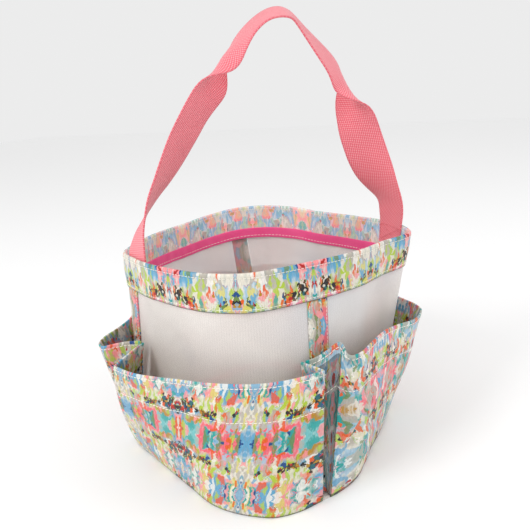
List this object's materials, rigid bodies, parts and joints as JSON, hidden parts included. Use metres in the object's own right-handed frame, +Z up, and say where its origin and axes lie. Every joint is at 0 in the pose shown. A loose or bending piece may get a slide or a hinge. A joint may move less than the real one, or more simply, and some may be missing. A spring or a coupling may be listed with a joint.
{
  "type": "shower caddy",
  "caption": "Soft round mesh shower caddy tote with a folded printed rim band, a ring of pleated outer pockets and a single webbing carrying handle that swings over the rim.",
  "frame": {"origin": "centre of the whole outline, on the surface the caddy stands on", "axes": "+Z up, -Y towards the front pocket, +X to its right"},
  "size_m": [0.2828, 0.3058, 0.4015],
  "materials": {
    "mesh_cloth": "open weave mesh, semi-clear",
    "printed_cloth": "laminated multicolour brush-stroke print",
    "base_cloth": "coarse drainage mesh",
    "pink_binding": "folded bias binding",
    "webbing": "woven webbing"
  },
  "bodies": {
    "root": {"mesh_wall": "mesh_cloth", "top_band": "printed_cloth", "band_binding": "pink_binding", "base_panel": "base_cloth", "base_seam_binding": "pink_binding", "divider_strip_front_left": "printed_cloth", "divider_strip_front_right": "printed_cloth", "divider_strip_back_right": "printed_cloth", "divider_strip_back_left": "printed_cloth", "pocket_front": "printed_cloth", "pocket_right": "printed_cloth", "pocket_back": "printed_cloth", "pocket_left": "printed_cloth", "handle_tab_left": "webbing", "handle_tab_right": "webbing"},
    "handle": {"handle_strap": "webbing"}
  },
  "joints": [
    {"name": "handle_swing", "type": "hinge", "parent": "root", "child": "handle", "pos_m": [-0.08295, -0.09046, 0.2236], "axis": [0.7824, 0.6228, 0], "range_deg": [-80, 80]}
  ]
}
